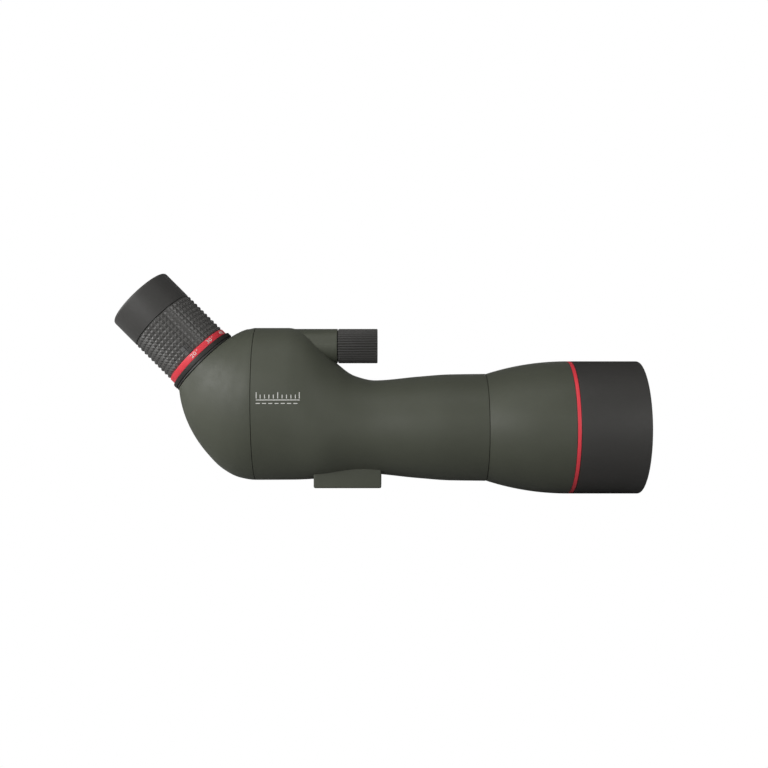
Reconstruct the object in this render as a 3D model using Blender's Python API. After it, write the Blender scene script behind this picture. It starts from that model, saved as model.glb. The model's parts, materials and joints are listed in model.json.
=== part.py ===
"""Angled zoom spotting scope with a 70 mm objective, as an assembly of separate pieces.

Metres, +Z up. The origin is the centre of the tripod foot's lower face, and the objective looks along +X.
"""

import math

import bmesh
import bpy
from mathutils import Matrix, Vector

# Driving dimensions
GAP = 0.0003
AXIS_HEIGHT = 0.03845
WALL = 0.0028

SEAM_REAR_X = -0.0601
SEAM_FRONT_X = 0.0886
SEAM_GROOVE = 0.0004
BARREL_R = 0.0430
BARREL_END_X = 0.1415
TRIM_END_X = 0.1441
HOOD_END_X = 0.1879
SLEEVE_R = 0.0395
SLEEVE_END_X = 0.1850
CELL_R = 0.0374
LENS_R = 0.0356

FOOT_START_X = -0.0220
FOOT_END_X = 0.0213
FOOT_WIDTH = 0.0290
FOOT_BORE_DEPTH = 0.0110
THREAD_X = -0.0070
PIN_HOLE_X = 0.0070

TURRET_HEIGHT = 0.0529
TURRET_R = 0.0112
TURRET_START_X = -0.0355
TURRET_END_X = -0.0072
TURRET_BORE_R = 0.0076
KNOB_START_X = -0.0068
KNOB_END_X = 0.0188
KNOB_FLUTES = 40
KNOB_FLUTE_DEPTH = 0.0006
KNOB_BORE_R = 0.0092
KNOB_HUB_R = 0.0089
SPINDLE_R = 0.0030

EYE_CROSSING_X = -0.0518
EYE_ANGLE = math.radians(45)
COVER_END = 0.0583
COLLAR_START = 0.0586
COLLAR_END = 0.0626
COLLAR_R = 0.0245
SCALE_START = 0.0629
SCALE_END = 0.0670
SCALE_R = 0.02315
GRIP_START = 0.0673
GRIP_END = 0.0983
GRIP_R = 0.0233
CUP_START = 0.0986
CUP_END = 0.1189
CUP_R = 0.02295
CUP_BORE_R = 0.0213
CUP_LIP_R = 0.0162
CUP_TOP = 0.1175

# Tubes of the eyepiece, from the inside out
GROUP_R = 0.0132
TUBE_BORE_R = 0.0135
TUBE_R = 0.0153
CAM_BORE_R = 0.0156
CAM_R = 0.0172
WEB_R = 0.0176
HOUSING_R = 0.0196
SLEEVE_BORE_R = 0.0199
ZOOM_BARREL_R = 0.0215
CUP_SLEEVE_R = 0.0210

ZOOM_MIN = math.radians(-50)
ZOOM_MAX = math.radians(87)
FRONT_GROUP_PITCH = 0.0035
REAR_GROUP_PITCH = -0.0030
FRONT_GROUP_START = 0.0660
REAR_GROUP_START = 0.0870
GROUP_LENGTH = 0.0100
GROUP_LENS_R = 0.0112
PIN_R = 0.0011

PRISM_FACE = 0.0340
PRISM_WIDTH = 0.0260

# Outlines of the shells: (place along the optical axis, distance from it)
BODY_TOP = [
    (SEAM_REAR_X, 0.0647),
    (-0.0390, 0.0647),
    (-0.0290, 0.0620),
    (-0.0080, 0.0419),
    (0.0040, 0.0335),
    (0.0170, 0.0306),
    (0.0450, 0.0330),
    (0.0660, 0.0345),
    (SEAM_FRONT_X, 0.0348),
]
BODY_BOTTOM = [
    (SEAM_REAR_X, -0.0342),
    (-0.0360, -0.0341),
    (-0.0250, -0.0337),
    (0.0080, -0.0298),
    (0.0450, -0.0330),
    (0.0660, -0.0345),
    (SEAM_FRONT_X, -0.0348),
]
BODY_HALF_WIDTH = [
    (SEAM_REAR_X, 0.0335),
    (-0.0300, 0.0333),
    (0.0120, 0.0300),
    (0.0450, 0.0330),
    (0.0660, 0.0345),
    (SEAM_FRONT_X, 0.0348),
]
BODY_WIDEST = [(SEAM_REAR_X, 0.0190), (-0.0390, 0.0165), (-0.0110, 0.0), (SEAM_FRONT_X, 0.0)]

# The prism cover fans out from the line where the seam plane meets the collar plane:
# (angle from the seam plane in degrees, distance from that line)
COVER_NEAR = [(0, 0.00905), (28, 0.0112), (36.5, 0.0134), (41.5, 0.0162), (44.2, 0.0192), (45, 0.0218)]
COVER_FAR = [(0, 0.10795), (5.6, 0.1068), (11.6, 0.1031), (18.8, 0.0962), (32, 0.0832), (45, 0.0700)]
COVER_HALF_WIDTH = [(0, 0.0335), (12, 0.0321), (26, 0.0286), (36, 0.0256), (45, 0.0238)]
COVER_WIDEST = [(0, 0.05475), (45, 0.0460)]

FINE = 32
COARSE = 20


# Curves and meshes


def smooth_curve(points, at):
    """The height of a smooth curve through points, without overshoot between them."""
    steps = [(b[1] - a[1]) / (b[0] - a[0]) for a, b in zip(points, points[1:])]
    slopes = [0.0]
    for before, after in zip(steps, steps[1:]):
        same_way = before * after > 0
        slopes.append(2 * before * after / (before + after) if same_way else 0.0)
    slopes.append(steps[-1] if len(points) > 2 else 0.0)
    index = 0
    while index < len(points) - 2 and at > points[index + 1][0]:
        index += 1
    (x0, y0), (x1, y1) = points[index], points[index + 1]
    width = x1 - x0
    t = min(max((at - x0) / width, 0.0), 1.0)
    rise = (1 - t) ** 2 * (1 + 2 * t) * y0 + t**2 * (3 - 2 * t) * y1
    return rise + width * t * (1 - t) * ((1 - t) * slopes[index] - t * slopes[index + 1])


def new_object(name, mesh_builder, finish, parent=None):
    """Turns a bmesh into a named object with one material, shaded smooth with sharp edges."""
    bmesh.ops.remove_doubles(mesh_builder, verts=mesh_builder.verts, dist=1e-6)
    bmesh.ops.recalc_face_normals(mesh_builder, faces=mesh_builder.faces)
    mesh = bpy.data.meshes.new(name)
    mesh_builder.to_mesh(mesh)
    mesh_builder.free()
    mesh.shade_smooth()
    mesh.set_sharp_from_angle(angle=math.radians(35))
    if finish:
        mesh.materials.append(finish)
    piece = bpy.data.objects.new(name, mesh)
    piece.parent = parent
    bpy.context.scene.collection.objects.link(piece)
    return piece


def turned(name, profile, finish, parent, segments=FINE):
    """Spins a closed profile of (place along the axis, radius) about its parent's Z axis."""
    build = bmesh.new()
    corners = [build.verts.new((radius, 0, along)) for along, radius in profile]
    edges = [build.edges.new(pair) for pair in zip(corners, corners[1:])]
    if profile[0][1] > 0 or profile[-1][1] > 0:
        edges.append(build.edges.new((corners[-1], corners[0])))
    bmesh.ops.spin(
        build,
        geom=corners + edges,
        cent=(0, 0, 0),
        axis=(0, 0, 1),
        angle=2 * math.pi,
        steps=segments,
        use_merge=True,
    )
    return new_object(name, build, finish, parent)


def ring(name, start, end, inner, outer, finish, parent, segments=FINE):
    """A plain ring between two places along its parent's axis."""
    profile = [(start, inner), (start, outer), (end, outer), (end, inner)]
    return turned(name, profile, finish, parent, segments)


def cap_arc(place, sag, radius, steps=3):
    """Points of a lens face from the axis out to its edge, where it has moved by sag."""
    sphere = (radius**2 + sag**2) / (2 * sag)
    reach = math.asin(radius / abs(sphere))
    arc = []
    for step in range(steps + 1):
        angle = reach * step / steps
        arc.append((place + sphere * (1 - math.cos(angle)), abs(sphere) * math.sin(angle)))
    return arc


def lens(name, back, back_sag, front, front_sag, radius, finish, parent, segments=FINE):
    """A lens between two vertices, each face moved by its sag at the edge."""
    back_face = cap_arc(back, back_sag, radius)
    front_face = cap_arc(front, front_sag, radius)
    return turned(name, back_face + front_face[::-1], finish, parent, segments)


def box_mesh(build, low, high):
    """Adds an axis-aligned box to a bmesh."""
    size = [high[i] - low[i] for i in range(3)]
    middle = [(high[i] + low[i]) / 2 for i in range(3)]
    placing = Matrix.Translation(middle) @ Matrix.Diagonal((*size, 1))
    bmesh.ops.create_cube(build, size=1, matrix=placing)


def box(name, low, high, finish=None, parent=None):
    build = bmesh.new()
    box_mesh(build, low, high)
    return new_object(name, build, finish, parent)


def rod(name, start, end, radius, finish=None, parent=None, segments=COARSE):
    """A plain cylinder along its parent's Z axis."""
    profile = [(start, 0), (start, radius), (end, radius), (end, 0)]
    return turned(name, profile, finish, parent, segments)


def combine(piece, operation, tool):
    """Keeps a Boolean on the piece, and hides its tool."""
    change = piece.modifiers.new(tool.name, "BOOLEAN")
    change.operation = operation
    change.object = tool
    change.solver = "EXACT"
    tool.hide_render = True
    tool.display_type = "WIRE"
    return piece


def material(name, colour, roughness, metallic=0.0, transmission=0.0):
    finish = bpy.data.materials.new(name)
    finish.use_nodes = True
    surface = finish.node_tree.nodes["Principled BSDF"]
    surface.inputs["Base Color"].default_value = (*colour, 1)
    surface.inputs["Roughness"].default_value = roughness
    surface.inputs["Metallic"].default_value = metallic
    surface.inputs["Transmission Weight"].default_value = transmission
    return finish


def axis_empty(name, place, tilt):
    """An empty whose Z axis is an axis of the scope. Tilt turns it from +Z towards +X."""
    empty = bpy.data.objects.new(name, None)
    empty.location = place
    empty.rotation_euler = (0, tilt, 0)
    bpy.context.scene.collection.objects.link(empty)
    return empty


def circle_points(place, radius, count):
    """Points of a circle about the eyepiece axis, starting on the side that faces the seam plane's top."""
    turns = [2 * math.pi * i / count for i in range(count)]
    return [EYE_AT @ Vector((radius * math.sin(t), radius * math.cos(t), place)) for t in turns]


def oval(origin, down, near, far, widest, half_width, count, power=1.0):
    """Points of an oval in the plane of Y and down. Power below 1 squares its corners."""
    points = []
    for i in range(count):
        turn = 2 * math.pi * i / count
        up = math.copysign(abs(math.sin(turn)) ** power, math.sin(turn))
        side = math.copysign(abs(math.cos(turn)) ** power, math.cos(turn))
        reach = widest - near if up > 0 else far - widest
        points.append(origin + down * (widest - up * reach) + Vector((0, side * half_width, 0)))
    return points


def body_ring(x, inset=0.0, count=FINE):
    """The body's outline at a place along the optical axis, moved inwards by inset."""
    top = smooth_curve(BODY_TOP, x) - inset
    bottom = smooth_curve(BODY_BOTTOM, x) + inset
    half_width = smooth_curve(BODY_HALF_WIDTH, x) - inset
    widest = smooth_curve(BODY_WIDEST, x)
    origin = Vector((x, 0, AXIS_HEIGHT))
    return oval(origin, Vector((0, 0, -1)), -top, -bottom, -widest, half_width, count)


def cover_ring(angle, inset=0.0, count=FINE):
    """The prism cover's outline in a plane turned by angle degrees from the seam plane."""
    down = Vector((-math.sin(math.radians(angle)), 0, -math.cos(math.radians(angle))))
    near = smooth_curve(COVER_NEAR, angle) + inset
    far = smooth_curve(COVER_FAR, angle) - inset
    half_width = smooth_curve(COVER_HALF_WIDTH, angle) - inset
    return oval(COVER_PIVOT, down, near, far, smooth_curve(COVER_WIDEST, angle), half_width, count)


def ring_shell(name, rings, finish=None):
    """Joins a cycle of point rings, each to the next and the last to the first."""
    build = bmesh.new()
    loops = [[build.verts.new(point) for point in points] for points in rings]
    count = len(loops[0])
    for loop, following in zip(loops, loops[1:] + loops[:1]):
        for i in range(count):
            j = (i + 1) % count
            build.faces.new((loop[i], loop[j], following[j], following[i]))
    return new_object(name, build, finish)


# Shells


def make_main_body(finish):
    """The hollow casting with its turret and tripod foot, and the bores cut in them."""
    length = SEAM_FRONT_X - SEAM_REAR_X
    outer = [body_ring(SEAM_REAR_X + length * i / 18) for i in range(19)]
    inner = [body_ring(SEAM_FRONT_X - length * i / 9, WALL) for i in range(10)]
    body = ring_shell("main_body", outer + inner, finish)

    turret = rod("turret_form", TURRET_START_X, TURRET_END_X, TURRET_R, None, TURRET_AXIS, FINE)
    combine(body, "UNION", turret)
    build = bmesh.new()
    half_width = FOOT_WIDTH / 2
    box_mesh(build, (FOOT_START_X, -half_width, 0), (FOOT_END_X, half_width, 0.0140))
    lower = [edge for edge in build.edges if min(v.co.z for v in edge.verts) < 0.001]
    bmesh.ops.bevel(build, geom=lower, offset=0.001, segments=2, profile=0.5, affect="EDGES")
    combine(body, "UNION", new_object("foot_form", build, None))

    start, end = TURRET_START_X - 0.001, TURRET_END_X + 0.001
    combine(body, "DIFFERENCE", rod("turret_bore", start, end, TURRET_BORE_R, None, TURRET_AXIS))
    thread_bore = rod("thread_bore", -0.001, FOOT_BORE_DEPTH, 0.0058, None, FOOT_AXIS)
    combine(body, "DIFFERENCE", thread_bore)
    pin_bore = rod("pin_bore", -0.001, 0.0050, 0.0022, None, PIN_AXIS, 16)
    combine(body, "DIFFERENCE", pin_bore)
    return body


def make_prism_cover(finish):
    """The domed rear shell, open at the seam and closed by a bored wall under the collar."""
    outer = [cover_ring(45 * math.sin(math.pi / 2 * i / 11)) for i in range(12)]
    wall = [circle_points(COVER_END, 0.0179, FINE), circle_points(COVER_END - 0.0025, 0.0179, FINE)]
    inner = [cover_ring(41 - 41 * i / 6, WALL) for i in range(7)]
    return ring_shell("prism_cover", outer + wall + inner, finish)


def make_objective_barrel(finish):
    """The flared shell, its spigot inside the body, and the sleeve that the sunshade slides on."""
    start = SEAM_FRONT_X + SEAM_GROOVE
    flare_radius = 0.1687
    flare = []
    for i in range(8):
        x = start + (BARREL_END_X - start) * i / 7
        back = BARREL_END_X - x
        flare.append((x, BARREL_R - flare_radius + math.sqrt(flare_radius**2 - back**2)))
    profile = [(0.0806, 0.0299), (0.0806, 0.0317), (start, 0.0317)]
    profile += flare
    profile += [(BARREL_END_X, SLEEVE_R), (0.1755, SLEEVE_R), (0.1755, 0.0382)]
    profile += [(0.1815, 0.0382), (0.1815, SLEEVE_R), (SLEEVE_END_X, SLEEVE_R)]
    profile += [(SLEEVE_END_X, 0.0377), (0.1502, 0.0377), (0.1502, 0.0362)]
    profile += [(0.1300, 0.0362), (0.1050, 0.0350), (0.0900, 0.0299)]
    return turned("objective_barrel", profile, finish, OPTICAL_AXIS)


def make_sunshade(finish):
    """The sliding hood, with rounded rims."""
    start = TRIM_END_X + GAP
    inner = SLEEVE_R + 0.0008
    profile = [(start, inner), (start, BARREL_R - 0.0003), (start + 0.0003, BARREL_R)]
    rim = 0.0013
    for i in range(3):
        angle = math.pi / 2 * i / 2
        profile.append((HOOD_END_X - rim + rim * math.sin(angle), BARREL_R - rim + rim * math.cos(angle)))
    profile += [(HOOD_END_X, inner + 0.0006), (HOOD_END_X - 0.0006, inner)]
    return turned("sunshade_tube", profile, finish, OPTICAL_AXIS)


def make_seals(rubber, felt):
    """The seals in the two seams, and the felt that the sunshade drags on."""
    rings = [body_ring(SEAM_REAR_X, 0.0033), body_ring(SEAM_REAR_X, 0.0048)]
    rings = [[point + Vector((0.0004, 0, 0)) for point in loop] for loop in rings]
    offset = Vector((-0.0022, 0, 0))
    rings += [[point + offset for point in loop] for loop in rings[::-1]]
    ring_shell("rear_seam_gasket", rings, rubber)
    ring("front_seam_gasket", 0.0780, 0.0803, 0.0300, 0.0314, rubber, OPTICAL_AXIS)
    ring("sunshade_felt_ring", 0.1758, 0.1812, 0.0385, 0.0400, felt, OPTICAL_AXIS)


# Objective


def make_objective(metal, glass):
    """The two lenses of the objective, and the cell and rings that hold them."""
    cell = [(0.1505, 0.0340), (0.1505, CELL_R), (0.1790, CELL_R), (0.1790, LENS_R + 0.00035)]
    cell += [(0.1581, LENS_R + 0.00035), (0.1581, 0.0340)]
    turned("objective_cell", cell, metal, OPTICAL_AXIS)
    sag = 0.0043
    lens("flint_lens", 0.1580, 0.0004, 0.1616, sag, LENS_R, glass, OPTICAL_AXIS)
    lens("crown_lens", 0.1632, sag, 0.1753, -sag, LENS_R, glass, OPTICAL_AXIS)
    ring("lens_spacer", 0.1662, 0.16695, 0.0346, LENS_R, metal, OPTICAL_AXIS)
    ring("objective_retaining_ring", 0.1718, 0.1748, 0.0342, LENS_R, metal, OPTICAL_AXIS)


def make_baffles(metal):
    """Two stepped rings that stop stray light in the barrel and the body."""
    for name, x, outer, inner in (
        ("front_baffle", 0.1190, 0.0350, 0.0290),
        ("rear_baffle", 0.0500, 0.0302, 0.0215),
    ):
        profile = [(x, inner), (x, outer), (x + 0.0070, outer), (x + 0.0070, outer - 0.0012)]
        profile += [(x + 0.0012, outer - 0.0012), (x + 0.0012, inner)]
        turned(name, profile, metal, OPTICAL_AXIS)


# Prism


def make_chassis_plate(metal):
    """The bulkhead just inside the rear seam, with a window for the prism."""
    front, rear = -0.0574, -0.0594
    outline = [body_ring(x, WALL + 0.0004) for x in (rear, front)]
    centre = Vector((0, 0, AXIS_HEIGHT))
    window = [
        oval(centre + Vector((x, 0, 0)), Vector((0, 0, -1)), -0.0200, 0.0280, 0.0040, 0.0175, FINE, 0.33)
        for x in (front, rear)
    ]
    plate = ring_shell("chassis_plate", outline + window, metal)
    combine(plate, "DIFFERENCE", rod("rod_hole", -0.0600, -0.0570, 0.0018, None, GUIDE_AXIS, 16))
    for side, axis in zip(("left", "right"), SCREW_AXES):
        combine(plate, "DIFFERENCE", rod(side + "_hole", -0.0600, -0.0570, 0.0015, None, axis, 16))
    return plate


def prism_corners():
    """The prism's outline from the side: top of the entrance face, its foot, and the rear corner."""
    diagonal = math.sqrt(0.5)
    top = Vector((EYE_CROSSING_X + 0.1464 * PRISM_FACE, 0, AXIS_HEIGHT + 0.3536 * PRISM_FACE))
    foot = top - Vector((0, 0, PRISM_FACE))
    rear = top - Vector((diagonal, 0, diagonal)) * PRISM_FACE
    return top, foot, rear


def slab(name, outline, y_low, y_high, finish=None):
    """A flat plate with an outline in the plane of X and Z."""
    build = bmesh.new()
    face = build.faces.new([build.verts.new((x, y_low, z)) for x, z in outline])
    grown = bmesh.ops.extrude_face_region(build, geom=[face])["geom"]
    moved = [item for item in grown if isinstance(item, bmesh.types.BMVert)]
    bmesh.ops.translate(build, verts=moved, vec=(0, y_high - y_low, 0))
    return new_object(name, build, finish)


def make_prism(glass):
    """The 45 degree roof prism. Its lower face is a roof of two planes that meet on the ridge."""
    top, foot, rear = prism_corners()
    half = PRISM_WIDTH / 2
    prism = slab("roof_prism", [(p.x, p.z) for p in (top, foot, rear)], -half, half, glass)
    along = (rear - foot).normalized()
    outward = Vector((along.z, 0, -along.x))
    if outward.dot(top - foot) > 0:
        outward = -outward
    build = bmesh.new()
    build.from_mesh(prism.data)
    for side in (1, -1):
        geometry = build.verts[:] + build.edges[:] + build.faces[:]
        roof = (outward + Vector((0, side, 0))).normalized()
        cut = bmesh.ops.bisect_plane(
            build, geom=geometry, plane_co=foot, plane_no=roof, clear_outer=True
        )["geom_cut"]
        bmesh.ops.contextual_create(build, geom=[e for e in cut if isinstance(e, bmesh.types.BMEdge)])
    bmesh.ops.recalc_face_normals(build, faces=build.faces)
    build.to_mesh(prism.data)
    build.free()
    return prism


def make_prism_frame(metal, steel):
    """The frame's cheek with three webs, the opposite clamp plate, and their screws."""
    top, foot, rear = prism_corners()
    near = PRISM_WIDTH / 2 + 0.0003
    far = near + 0.0020
    margin = 0.0018
    outline = [
        (top.x, top.z + margin),
        (foot.x, foot.z - margin),
        (foot.x - 0.0040, foot.z - margin),
        (rear.x - margin, rear.z - margin),
        (rear.x - margin, rear.z + 0.0030),
    ]
    for name, side in (("prism_frame", -1), ("prism_clamp", 1)):
        y_low, y_high = sorted((side * near, side * far))
        cheek = slab(name, outline, y_low, y_high, metal)
        ear_low, ear_high = sorted((side * (near + 0.0006), side * 0.0235))
        ear = box(
            name + "_ear",
            (-0.0571, ear_low, AXIS_HEIGHT - 0.0060),
            (-0.0551, ear_high, AXIS_HEIGHT + 0.0020),
        )
        combine(cheek, "UNION", ear)
        axis = SCREW_AXES[0 if side < 0 else 1]
        combine(cheek, "DIFFERENCE", rod(name + "_hole", -0.0575, -0.0545, 0.0015, None, axis, 16))
        if side < 0:
            webs = (
                ("top_web", (top.x - 0.0045, top.z + GAP), (top.x, top.z + margin)),
                ("foot_web", (foot.x - 0.0030, foot.z - margin), (foot.x, foot.z - GAP)),
                ("rear_web", (rear.x - margin, rear.z - margin), (rear.x - GAP, rear.z + 0.0030)),
            )
            for web_name, low, high in webs:
                web = box(web_name, (low[0], -far + 0.0005, low[1]), (high[0], near - 0.0003, high[1]))
                combine(cheek, "UNION", web)
    for name, axis in zip(("prism_screw_left", "prism_screw_right"), SCREW_AXES):
        profile = [(-0.0592, 0), (-0.0592, 0.0012), (-0.0548, 0.0012), (-0.0548, 0.0024)]
        profile += [(-0.0532, 0.0024), (-0.0532, 0)]
        turned(name, profile, steel, axis, 16)


# Focus


def make_focus_knob(rubber, plastic, steel):
    """The fluted grip on its hub, the front cap, the screw and the spindle."""
    points = 2 * KNOB_FLUTES
    loops = []
    for x, crest, root in (
        (KNOB_START_X, TURRET_R, TURRET_R - KNOB_FLUTE_DEPTH),
        (KNOB_END_X, TURRET_R, TURRET_R - KNOB_FLUTE_DEPTH),
        (KNOB_END_X, KNOB_BORE_R, KNOB_BORE_R),
        (KNOB_START_X, KNOB_BORE_R, KNOB_BORE_R),
    ):
        loop = []
        for i in range(points):
            turn = 2 * math.pi * i / points
            radius = crest if i % 2 else root
            loop.append(Vector((radius * math.sin(turn), radius * math.cos(turn), x)))
        loops.append(loop)
    ring_shell("focus_knob_grip", loops, rubber).parent = TURRET_AXIS
    hub_start = KNOB_START_X + GAP
    hub_bore = SPINDLE_R + GAP
    ring("focus_knob_hub", hub_start, 0.0143, hub_bore, KNOB_HUB_R, plastic, TURRET_AXIS, COARSE)
    rod("focus_knob_cap", 0.0168, KNOB_END_X - 0.0002, KNOB_HUB_R, plastic, TURRET_AXIS, COARSE)
    spindle = [(-0.0555, 0), (-0.0555, SPINDLE_R), (0.0135, SPINDLE_R), (0.0135, 0.0015)]
    spindle += [(0.0060, 0.0015), (0.0060, 0)]
    turned("focus_spindle", spindle, steel, TURRET_AXIS, COARSE)
    screw = [(0.0068, 0), (0.0068, 0.0012), (0.0146, 0.0012), (0.0146, 0.0045)]
    screw += [(0.0164, 0.0045), (0.0164, 0)]
    turned("focus_knob_screw", screw, steel, TURRET_AXIS, 16)


def make_focus_mount(brass, rubber, steel):
    """The fixed bush and seal in the turret, and the rod that guides the carriage."""
    outer = TURRET_BORE_R - GAP
    ring("focus_bush", -0.0340, -0.0100, SPINDLE_R + GAP, outer, brass, TURRET_AXIS, COARSE)
    ring("focus_shaft_seal", -0.0097, -0.0083, SPINDLE_R + GAP, outer, rubber, TURRET_AXIS, COARSE)
    rod("focus_guide_rod", -0.0612, -0.0120, 0.0015, steel, GUIDE_AXIS, 16)


def make_focus_carriage(metal, glass):
    """The focusing lens's cell with the arm that reaches up to the nut on the spindle."""
    cell = [(-0.0400, 0.0115), (-0.0400, 0.0160), (-0.0260, 0.0160), (-0.0260, 0.0127)]
    cell += [(-0.0363, 0.0127), (-0.0363, 0.0115)]
    carriage = turned("focus_carriage", cell, metal, OPTICAL_AXIS, COARSE)
    axis = AXIS_HEIGHT
    shelf = box("shelf_form", (-0.0450, -0.0050, axis + 0.0150), (-0.0270, 0.0050, axis + 0.0180))
    combine(carriage, "UNION", shelf)
    arm = box("arm_form", (-0.0447, -0.0046, axis + 0.0154), (-0.0425, 0.0046, axis + TURRET_HEIGHT))
    combine(carriage, "UNION", arm)
    combine(carriage, "DIFFERENCE", rod("guide_bore", -0.0460, -0.0415, 0.0018, None, GUIDE_AXIS, 16))
    nut = rod("nut_form", -0.0490, -0.0420, 0.0058, None, TURRET_AXIS, 24)
    combine(carriage, "UNION", nut)
    bore = rod("nut_bore", -0.0500, -0.0410, SPINDLE_R + GAP, None, TURRET_AXIS, 24)
    combine(carriage, "DIFFERENCE", bore)
    lens("focus_lens", -0.0345, -0.0015, -0.0325, 0.0015, 0.0124, glass, OPTICAL_AXIS, COARSE)
    ring("focus_lens_ring", -0.0306, -0.0282, 0.0113, 0.0124, metal, OPTICAL_AXIS, COARSE)


# Eyepiece


def slot_cutter(name, along, turn_low, turn_high, pitch, centre_turn, half_length):
    """A curved wedge that cuts a slot in a tube about the eyepiece axis.

    The slot's middle is at along plus pitch times the turn from centre_turn.
    """
    inner = TUBE_BORE_R - 0.001
    outer = CAM_R + 0.001
    steps = max(1, round((turn_high - turn_low) / 0.2))
    loops = []
    for i in range(steps + 1):
        turn = turn_low + (turn_high - turn_low) * i / steps
        middle = along + pitch * turn
        angle = centre_turn + turn
        corners = []
        for radius, height in ((inner, -1), (outer, -1), (outer, 1), (inner, 1)):
            place = middle + height * half_length
            corners.append((radius * math.cos(angle), radius * math.sin(angle), place))
        loops.append(corners)
    build = bmesh.new()
    rings = [[build.verts.new(point) for point in corners] for corners in loops]
    for low, high in zip(rings, rings[1:]):
        for i in range(4):
            j = (i + 1) % 4
            build.faces.new((low[i], low[j], high[j], high[i]))
    build.faces.new(rings[0])
    build.faces.new(rings[-1][::-1])
    return new_object(name, build, None, EYE_AXIS)


def make_eyepiece_mount(metal, plastic, steel):
    """The fixed collar, the inner tube with its two straight slots, its nut and the field stop."""
    bore = CAM_BORE_R + 0.0001
    step = COLLAR_R - 0.0005
    collar = [(COLLAR_START, bore), (COLLAR_START, step), (COLLAR_START + 0.0007, step)]
    collar += [(COLLAR_START + 0.0010, COLLAR_R), (COLLAR_END - 0.0003, COLLAR_R)]
    collar += [(COLLAR_END, COLLAR_R - 0.0003), (COLLAR_END, bore)]
    turned("eyepiece_collar", collar, plastic, EYE_AXIS)
    tube = ring("eyepiece_inner_tube", 0.0480, 0.1130, TUBE_BORE_R, TUBE_R, metal, EYE_AXIS)
    half_angle = (PIN_R + GAP) / TUBE_BORE_R
    for name, start, pitch, centre_turn in GROUPS:
        middle = start + GROUP_LENGTH / 2
        low = middle + min(pitch * ZOOM_MIN, pitch * ZOOM_MAX) - PIN_R - GAP
        high = middle + max(pitch * ZOOM_MIN, pitch * ZOOM_MAX) + PIN_R + GAP
        cutter = slot_cutter(
            name + "_straight_slot",
            (low + high) / 2,
            -half_angle,
            half_angle,
            0.0,
            centre_turn,
            (high - low) / 2,
        )
        combine(tube, "DIFFERENCE", cutter)
    ring("eyepiece_lock_nut", 0.0495, 0.0525, CAM_BORE_R, HOUSING_R, steel, EYE_AXIS, COARSE)
    ring("field_stop", 0.0560, 0.0575, 0.0085, GROUP_R, metal, EYE_AXIS, COARSE)


def make_zoom_ring(rubber, red, metal):
    """What turns with the zoom grip: the grip, its barrel, the number ring and the cam tube."""
    bore = ZOOM_BARREL_R + GAP
    edge = 0.0007
    grip = [(GRIP_START, bore), (GRIP_START, GRIP_R - edge), (GRIP_START + edge, GRIP_R)]
    grip += [(GRIP_END - edge, GRIP_R), (GRIP_END, GRIP_R - edge), (GRIP_END, bore)]
    turned("zoom_grip", grip, rubber, EYE_AXIS)
    scale = [(SCALE_START, WEB_R), (SCALE_START, SCALE_R - 0.0003), (SCALE_START + 0.0003, SCALE_R)]
    scale += [(SCALE_END, SCALE_R), (SCALE_END, WEB_R)]
    turned("zoom_scale_ring", scale, red, EYE_AXIS)
    start = SCALE_END + 0.0005
    end = GRIP_END - 0.0002
    web = 0.0021
    inside = ZOOM_BARREL_R - 0.0017
    barrel = [(start, WEB_R), (start, ZOOM_BARREL_R), (end, ZOOM_BARREL_R), (end, WEB_R)]
    barrel += [(end - web, WEB_R), (end - web, inside), (start + web, inside), (start + web, WEB_R)]
    turned("zoom_barrel", barrel, metal, EYE_AXIS)
    cam = ring("zoom_cam_tube", 0.0636, 0.0988, CAM_BORE_R, CAM_R, metal, EYE_AXIS)
    margin = (PIN_R + GAP) / CAM_BORE_R
    for name, start, pitch, centre_turn in GROUPS:
        cutter = slot_cutter(
            name + "_cam_slot",
            start + GROUP_LENGTH / 2,
            -ZOOM_MAX - margin,
            -ZOOM_MIN + margin,
            -pitch,
            centre_turn,
            PIN_R + 1.5 * GAP,
        )
        combine(cam, "DIFFERENCE", cutter)


def make_zoom_groups(metal, glass, brass):
    """The two sliding lens groups: each a cell, a lens and the pin that follows the cam."""
    for name, start, pitch, centre_turn in GROUPS:
        end = start + GROUP_LENGTH
        seat = GROUP_LENS_R + GAP
        lip = GROUP_LENS_R - 0.0012
        cell = [(start, lip), (start, GROUP_R), (end, GROUP_R), (end, seat)]
        cell += [(start + 0.0015, seat), (start + 0.0015, lip)]
        turned(name + "_cell", cell, metal, EYE_AXIS, COARSE)
        sag = math.copysign(0.0015, -pitch)
        back = start + 0.0038 - min(sag, 0)
        front = start + 0.0072 + min(sag, 0)
        lens(name + "_lens", back, sag, front, -sag, GROUP_LENS_R, glass, EYE_AXIS, COARSE)
        place = Vector((math.cos(centre_turn), math.sin(centre_turn), 0)) * TUBE_BORE_R
        place.z = (start + end) / 2
        pin_axis = bpy.data.objects.new(name + "_pin_axis", None)
        pin_axis.parent = EYE_AXIS
        pin_axis.location = place
        pin_axis.rotation_euler = (0, math.radians(90), centre_turn)
        bpy.context.scene.collection.objects.link(pin_axis)
        rod(name + "_pin", 0.0, 0.0034, PIN_R, brass, pin_axis, 12)


def make_eye_lens(plastic, glass, metal):
    """The fixed eye lens in the inner tube, its ring, and the housing that the eyecup rides on."""
    start, end = 0.1000, 0.1157
    floor = end - 0.0019
    housing = [(start, CAM_BORE_R), (start, HOUSING_R), (end, HOUSING_R), (end, 0.0160)]
    housing += [(floor, 0.0122), (floor - 0.0004, 0.0122), (floor - 0.0004, CAM_BORE_R)]
    turned("eye_lens_housing", housing, plastic, EYE_AXIS)
    lens("eye_lens", 0.1030, 0.0015, 0.1098, -0.0015, 0.0131, glass, EYE_AXIS, COARSE)
    ring("eye_lens_ring", 0.1106, 0.1126, 0.0116, GROUP_R, metal, EYE_AXIS, COARSE)


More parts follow.
